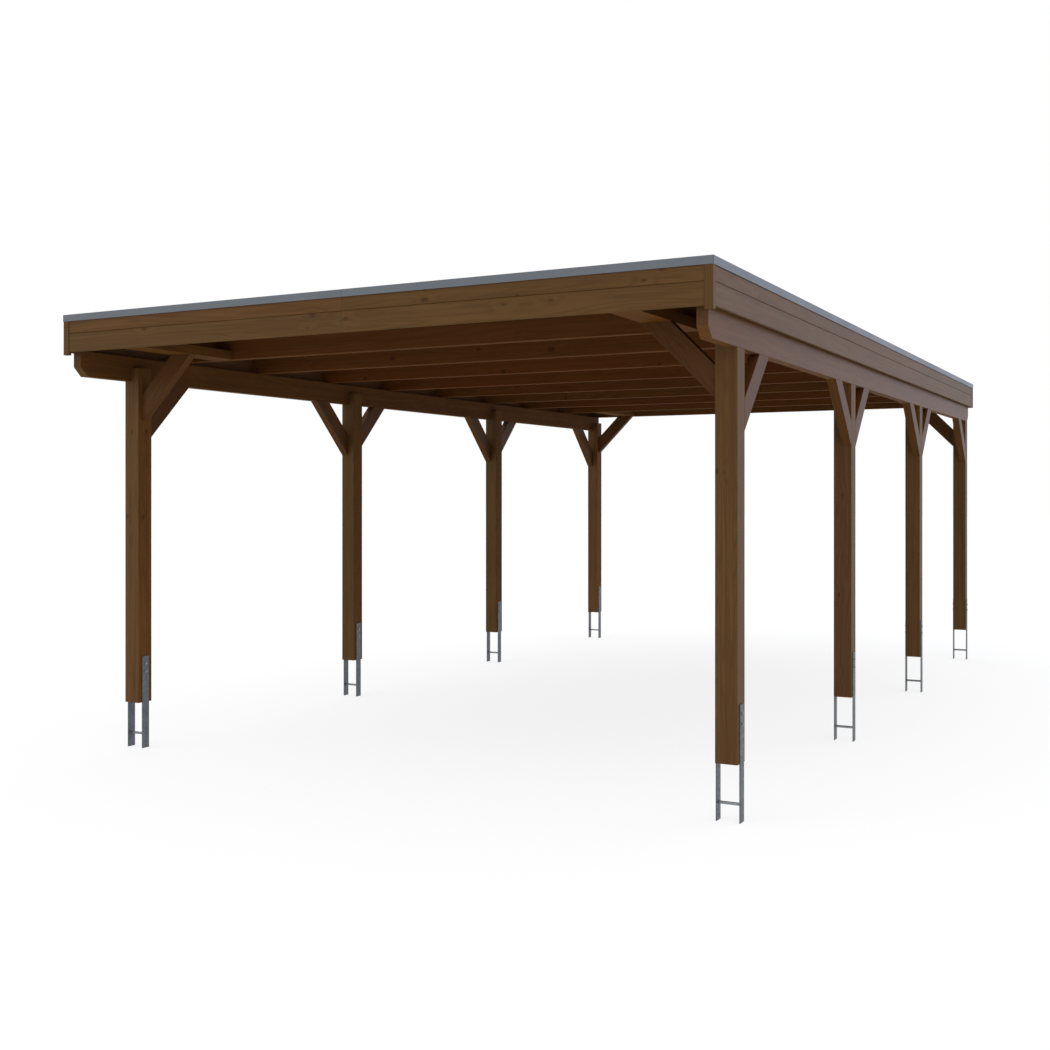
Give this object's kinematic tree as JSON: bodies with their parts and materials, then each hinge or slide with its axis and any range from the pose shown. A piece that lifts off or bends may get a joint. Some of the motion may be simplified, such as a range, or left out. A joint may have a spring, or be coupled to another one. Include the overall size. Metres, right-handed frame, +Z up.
{
  "type": "flat roof carport",
  "caption": "Open timber carport with a flat roof on two rows of posts, corner braces, boarded roof edge, metal edge trim and steel post anchors.",
  "frame": {"origin": "centre of the roof outline in plan, at the level of the lower ends of the post anchors", "axes": "+Z up, +Y along the carport from the entrance to the rear, +X to the right as seen from the entrance"},
  "size_m": [4.308, 7.956, 2.81],
  "materials": {
    "stained_timber": "planed spruce with a satin walnut brown glaze",
    "deck_boards": "brown glazed boards, seen from below",
    "anchor_steel": "hot dip galvanised, dull zinc",
    "roof_membrane": "matt dark sheet",
    "trim_metal": "folded strip with a blue-grey satin coat"
  },
  "bodies": {
    "root": {"post_front_left": "stained_timber", "post_front_right": "stained_timber", "post_second_left": "stained_timber", "post_second_right": "stained_timber", "post_third_left": "stained_timber", "post_third_right": "stained_timber", "post_rear_left": "stained_timber", "post_rear_right": "stained_timber", "anchors_left": "anchor_steel", "anchors_right": "anchor_steel", "beam_left": "stained_timber", "beam_right": "stained_timber", "rafter_1": "stained_timber", "rafter_2": "stained_timber", "rafter_3": "stained_timber", "rafter_4": "stained_timber", "rafter_5": "stained_timber", "rafter_6": "stained_timber", "rafter_7": "stained_timber", "rafter_8": "stained_timber", "rafter_9": "stained_timber", "rafter_10": "stained_timber", "block_front_left": "stained_timber", "block_front_right": "stained_timber", "block_rear_left": "stained_timber", "block_rear_right": "stained_timber", "braces_front_left": "stained_timber", "braces_front_right": "stained_timber", "braces_second_left": "stained_timber", "braces_second_right": "stained_timber", "braces_third_left": "stained_timber", "braces_third_right": "stained_timber", "braces_rear_left": "stained_timber", "braces_rear_right": "stained_timber", "fascia_front": "stained_timber", "fascia_rear": "stained_timber", "fascia_left": "stained_timber", "fascia_right": "stained_timber", "roof_deck": "deck_boards", "roof_membrane": "roof_membrane", "trim_front": "trim_metal", "trim_rear": "trim_metal", "trim_left": "trim_metal", "trim_right": "trim_metal"}
  },
  "joints": []
}
